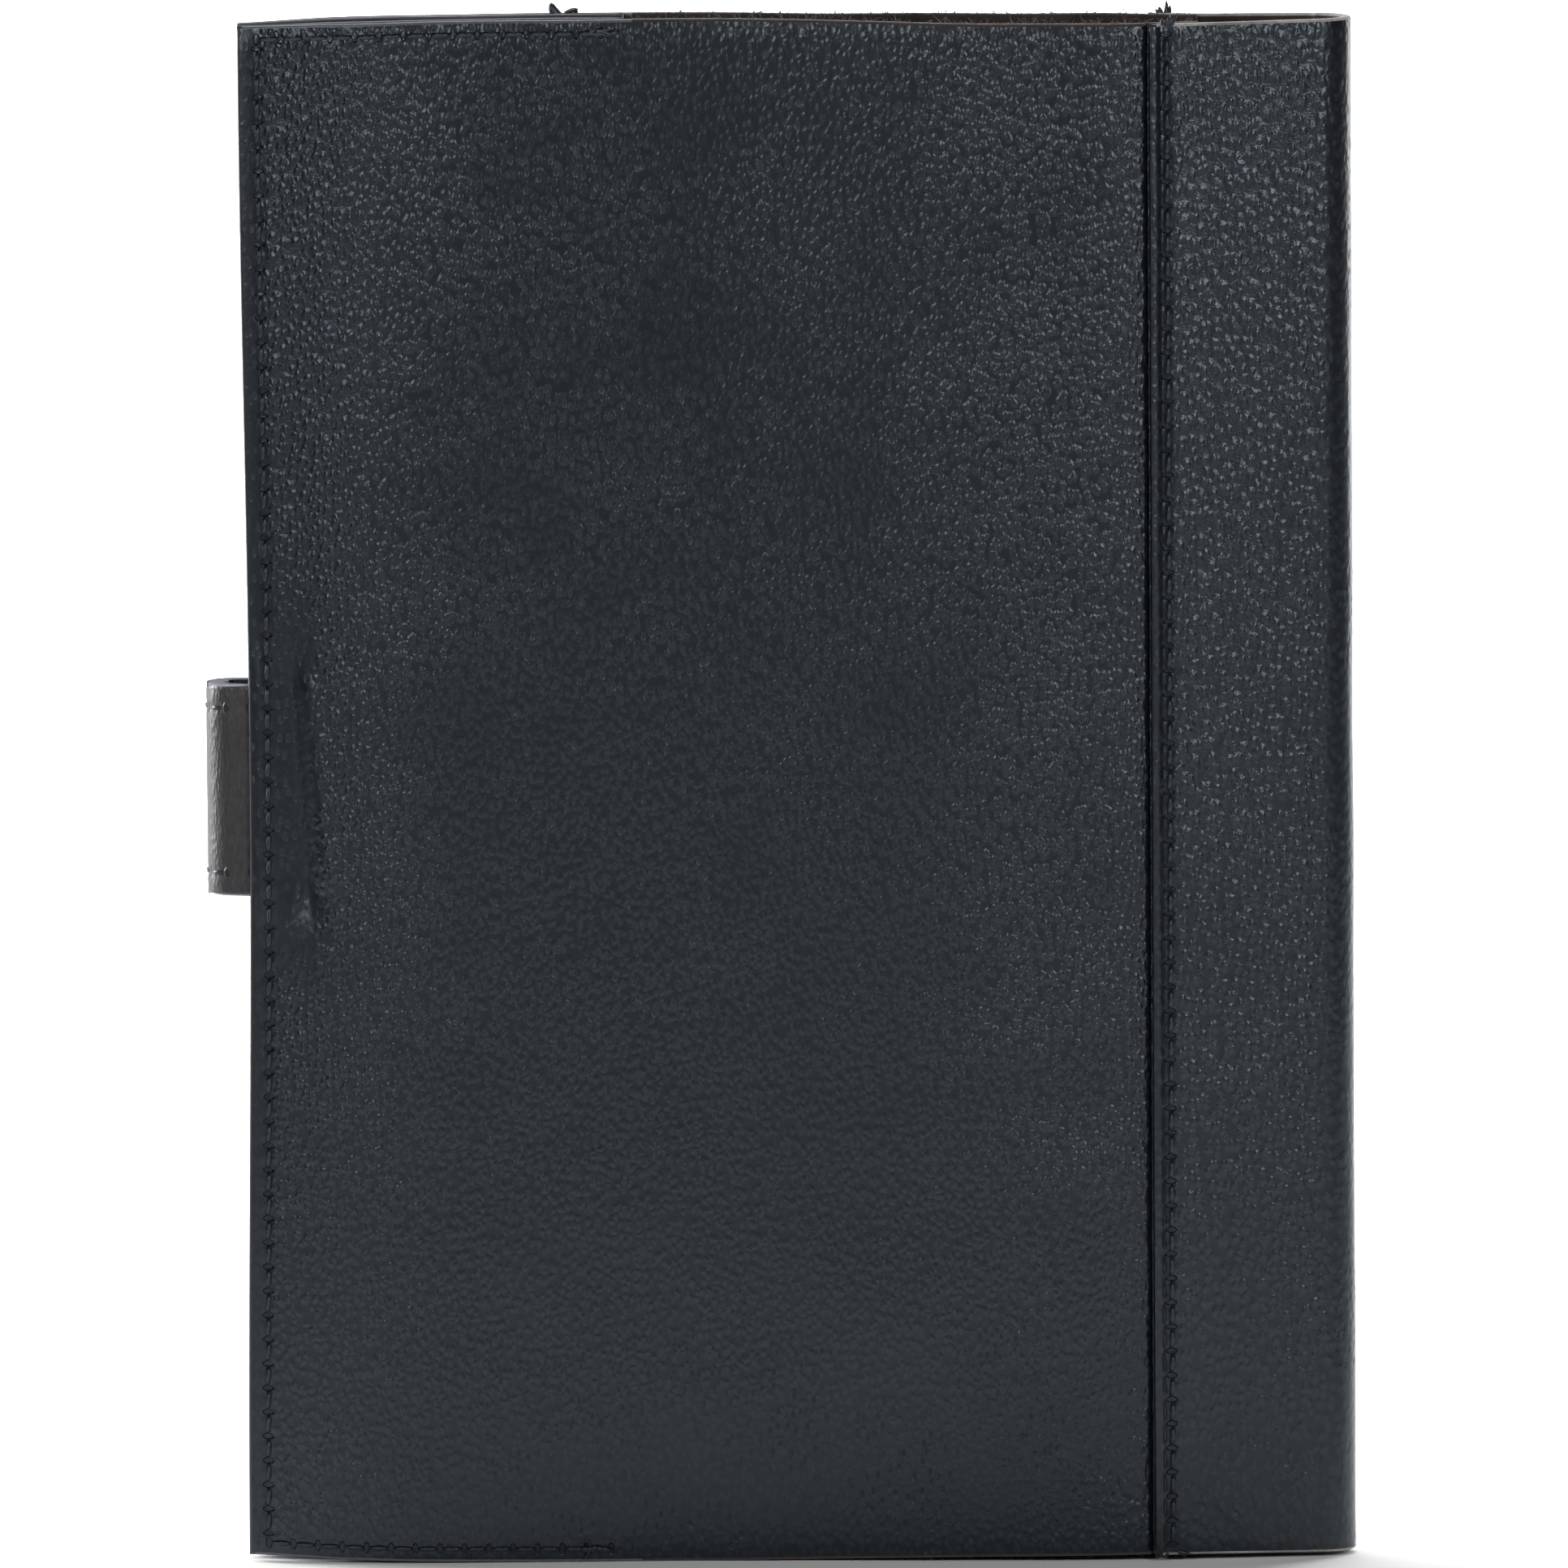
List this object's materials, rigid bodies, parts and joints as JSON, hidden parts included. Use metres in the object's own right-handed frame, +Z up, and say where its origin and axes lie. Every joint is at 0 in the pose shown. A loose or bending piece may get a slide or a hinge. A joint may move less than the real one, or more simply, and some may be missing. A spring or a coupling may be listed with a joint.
{
  "type": "leather notebook cover",
  "caption": "Soft leather wrap cover for a notebook, with a stitched spine piece, an inner pocket at each end and a strap that closes round the fore-edge with a snap.",
  "frame": {"origin": "middle of the base of the whole closed cover, on the surface that its lower edge stands on", "axes": "+Z up along the height, +X towards the spine, -Y towards the back of the cover, +Y towards the front that carries the snap"},
  "size_m": [0.1644, 0.019, 0.22],
  "materials": {
    "panel_leather": "pebbled grain, satin",
    "spine_leather": "coarse pebbled grain, satin",
    "pocket_leather": "smooth grain, satin",
    "strap_leather": "fine grain, satin, painted edges",
    "strap_lining": "fine grain, matt",
    "patch_leather": "suede, matt",
    "thread": "twisted waxed thread",
    "snap_metal": "dark plated, semi-gloss"
  },
  "bodies": {
    "back_cover": {"back_panel": "panel_leather", "back_pocket": "pocket_leather", "back_edge_stitching": "thread", "back_seam_stitching": "thread", "spine_back_wing": "spine_leather", "strap_root_leather": "strap_leather", "strap_root_lining": "strap_lining", "strap_root_stitching": "thread"},
    "spine": {"spine_wrap": "spine_leather"},
    "front_cover": {"spine_front_wing": "spine_leather", "front_panel": "panel_leather", "front_pocket": "pocket_leather", "front_edge_stitching": "thread", "front_seam_stitching": "thread", "snap_stud": "snap_metal", "snap_post": "snap_metal", "snap_patch": "patch_leather"},
    "strap_bend": {"strap_bend_leather": "strap_leather", "strap_bend_lining": "strap_lining", "strap_bend_stitching": "thread"},
    "strap_tail": {"strap_tail_leather": "strap_leather", "strap_tail_lining": "strap_lining", "strap_tail_stitching": "thread", "snap_cap": "snap_metal", "snap_socket": "snap_metal"}
  },
  "joints": [
    {"name": "back_fold", "type": "hinge", "parent": "back_cover", "child": "spine", "pos_m": [0.08066, -0.00406, 0.11], "axis": [0, 0, -1], "range_deg": [0, 90]},
    {"name": "front_fold", "type": "hinge", "parent": "spine", "child": "front_cover", "pos_m": [0.08066, 0.0034, 0.11], "axis": [0, 0, -1], "range_deg": [0, 90]},
    {"name": "strap_swing", "type": "hinge", "parent": "back_cover", "child": "strap_bend", "pos_m": [-0.08031, -0.00103, 0.1112], "axis": [0, 0, 1], "range_deg": [0, 90]},
    {"name": "strap_unfold", "type": "hinge", "parent": "strap_bend", "child": "strap_tail", "pos_m": [-0.08031, 0.00502, 0.1112], "axis": [0, 0, 1], "range_deg": [0, 90], "deforming": ["strap_tail_leather", "strap_tail_lining", "strap_tail_stitching", "snap_cap", "snap_socket"]}
  ]
}
